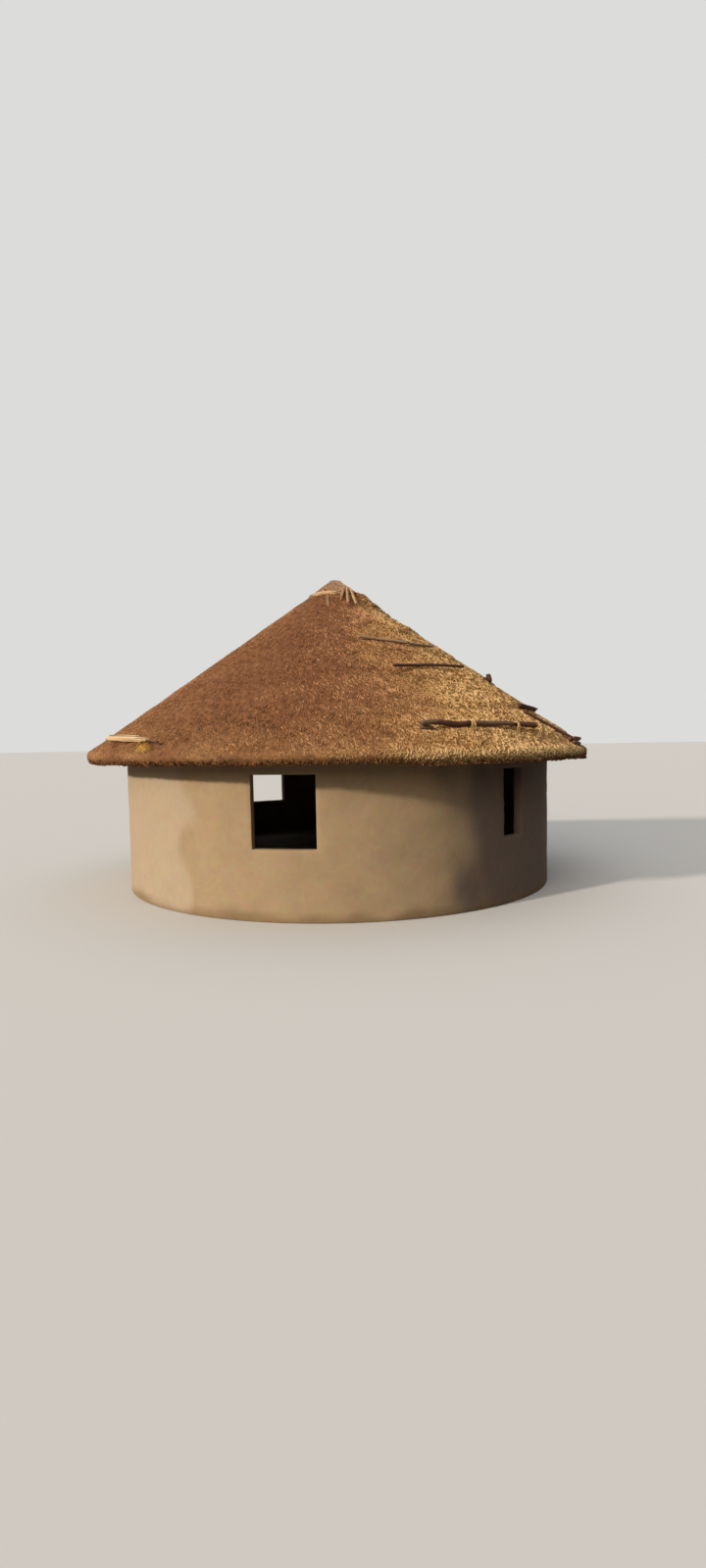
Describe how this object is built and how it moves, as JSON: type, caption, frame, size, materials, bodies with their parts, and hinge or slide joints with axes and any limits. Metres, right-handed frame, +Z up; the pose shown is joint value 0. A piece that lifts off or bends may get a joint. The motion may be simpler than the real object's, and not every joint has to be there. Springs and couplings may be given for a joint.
{
  "type": "rondavel hut",
  "caption": "Round plastered hut with bare window openings and a doorway, under a cone of thatch on poles that is dressed on one side and still rough on the other.",
  "frame": {"origin": "on the hut's axis, level with the lowest point where the wall meets the ground", "axes": "+Z up; -Y towards the front window; +X to the right of someone facing that window"},
  "size_m": [11.7072, 11.7072, 7.1938],
  "materials": {
    "plaster": "float-finished cement plaster, tan, with a paler patch",
    "hardcore": "rammed rubble and earth",
    "screed": "trowelled cement screed",
    "gum_pole": "debarked gum poles",
    "sapling": "peeled saplings",
    "fresh_thatch": "fresh golden grass, laid in coarse courses",
    "dressed_thatch": "dressed reddish-brown grass",
    "cap_grass": "bound bundle of grass",
    "grass_rope": "twisted pale grass",
    "weathered_pole": "dark weathered saplings",
    "peeled_pole": "pale peeled sapling",
    "pale_straw": "loose pale straw"
  },
  "bodies": {
    "root": {"foundation_ring": "plaster", "hardcore_fill": "hardcore", "floor_slab": "screed", "wall_panel_01": "plaster", "wall_panel_02": "plaster", "wall_panel_03": "plaster", "wall_panel_04": "plaster", "wall_panel_05": "plaster", "wall_panel_06": "plaster", "wall_panel_07": "plaster", "wall_panel_08": "plaster", "wall_panel_09": "plaster", "wall_panel_10": "plaster", "wall_panel_11": "plaster", "wall_panel_12": "plaster", "wall_panel_13": "plaster", "front_window_apron": "plaster", "side_window_apron": "plaster", "back_window_apron": "plaster", "door_threshold": "screed", "ring_beam": "plaster", "main_rafters": "gum_pole", "jack_rafters": "gum_pole", "crown_block": "gum_pole", "eave_battens": "sapling", "lower_battens": "sapling", "upper_battens": "sapling", "thatch_lane_01": "fresh_thatch", "thatch_lane_02": "fresh_thatch", "thatch_lane_03": "fresh_thatch", "thatch_lane_04": "fresh_thatch", "thatch_lane_05": "dressed_thatch", "thatch_lane_06": "dressed_thatch", "thatch_lane_07": "dressed_thatch", "thatch_lane_08": "dressed_thatch", "thatch_lane_09": "dressed_thatch", "thatch_lane_10": "dressed_thatch", "thatch_lane_11": "dressed_thatch", "thatch_lane_12": "dressed_thatch", "crown_cap": "cap_grass", "cap_rope": "grass_rope", "cap_tails": "pale_straw", "foothold_poles": "weathered_pole", "eave_pole": "peeled_pole", "eave_straw": "pale_straw"}
  },
  "joints": []
}
